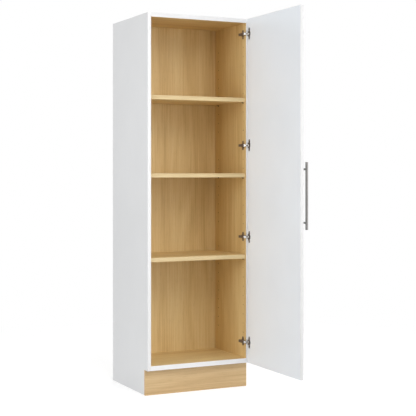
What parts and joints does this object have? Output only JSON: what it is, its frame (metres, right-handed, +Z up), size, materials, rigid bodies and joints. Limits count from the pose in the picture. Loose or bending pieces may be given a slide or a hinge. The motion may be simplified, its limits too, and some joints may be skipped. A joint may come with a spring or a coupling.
{
  "type": "broom cupboard",
  "caption": "Tall broom cupboard on a recessed plinth, with oak-look shelves inside and a full-height white door on concealed hinges with a bar handle.",
  "frame": {"origin": "on the floor, in the middle of the plinth board's underside", "axes": "+Z up; -Y out of the front, where the door hangs on the +X side"},
  "size_m": [0.6443, 1.1345, 2.03],
  "materials": {
    "two_tone_board": "faced board, white outside and light oak inside",
    "white_board": "faced board, smooth satin white",
    "white_edging": "smooth satin white edging",
    "oak_board": "light oak with fine straight grain",
    "oak_edging": "pale oak edging",
    "handle_steel": "brushed along the bar",
    "plate_steel": "dull dark nickel",
    "hinge_steel": "bright nickel",
    "cup_steel": "dull dark nickel",
    "beech": "plain beech",
    "cam_zinc": "raw cast zinc",
    "support_steel": "dull dark nickel",
    "screw_steel": "plated steel"
  },
  "bodies": {
    "carcase": {"side_panel_right": "two_tone_board", "side_panel_left": "two_tone_board", "top_panel": "two_tone_board", "bottom_panel": "two_tone_board", "back_panel": "oak_board", "plinth_board": "oak_board", "side_edging_right": "white_edging", "side_edging_left": "white_edging", "top_edging": "white_edging", "bottom_edging": "white_edging", "shelf_supports": "support_steel", "cam_bolts": "screw_steel", "cam_housings": "cam_zinc", "corner_dowels": "beech", "plinth_dowels": "beech", "shelf_upper": "oak_board", "shelf_edging_upper": "oak_edging", "shelf_middle": "oak_board", "shelf_edging_middle": "oak_edging", "shelf_lower": "oak_board", "shelf_edging_lower": "oak_edging", "plate_screws": "screw_steel", "arm_screws": "screw_steel", "arm_pins": "screw_steel", "mounting_plate_bottom": "plate_steel", "mounting_plate_lower": "plate_steel", "mounting_plate_upper": "plate_steel", "mounting_plate_top": "plate_steel", "hinge_arm_bottom": "plate_steel", "hinge_arm_lower": "plate_steel", "hinge_arm_upper": "plate_steel", "hinge_arm_top": "plate_steel"},
    "outer_links": {"outer_link_bottom": "hinge_steel", "outer_link_lower": "hinge_steel", "outer_link_upper": "hinge_steel", "outer_link_top": "hinge_steel"},
    "door": {"door_panel": "white_board", "door_edging": "white_edging", "handle_bar": "handle_steel", "handle_posts": "handle_steel", "handle_screws": "screw_steel", "cup_pins": "screw_steel", "cup_screws": "screw_steel", "hinge_cup_bottom": "cup_steel", "hinge_cup_lower": "cup_steel", "hinge_cup_upper": "cup_steel", "hinge_cup_top": "cup_steel"},
    "inner_links": {"inner_link_bottom": "hinge_steel", "inner_link_lower": "hinge_steel", "inner_link_upper": "hinge_steel", "inner_link_top": "hinge_steel"}
  },
  "joints": [
    {"name": "outer_link_swing", "type": "hinge", "parent": "carcase", "child": "outer_links", "pos_m": [0.2663, -0.0428, 0], "axis": [0, 0, 1], "range_deg": [-2.1, 18.9]},
    {"name": "door_swing", "type": "hinge", "parent": "outer_links", "child": "door", "pos_m": [0.28736, -0.05445, 0], "axis": [0, 0, 1], "range_deg": [-108.9, 12.1]},
    {"name": "inner_link_swing", "type": "hinge", "parent": "carcase", "child": "inner_links", "pos_m": [0.2729, -0.054, 0], "axis": [0, 0, 1], "range_deg": [-1.5, 13.5]}
  ],
  "couplings": [
    {"joint": "outer_link_swing", "follows": "door_swing", "ratio": -0.17355},
    {"joint": "inner_link_swing", "follows": "door_swing", "ratio": -0.12397}
  ]
}
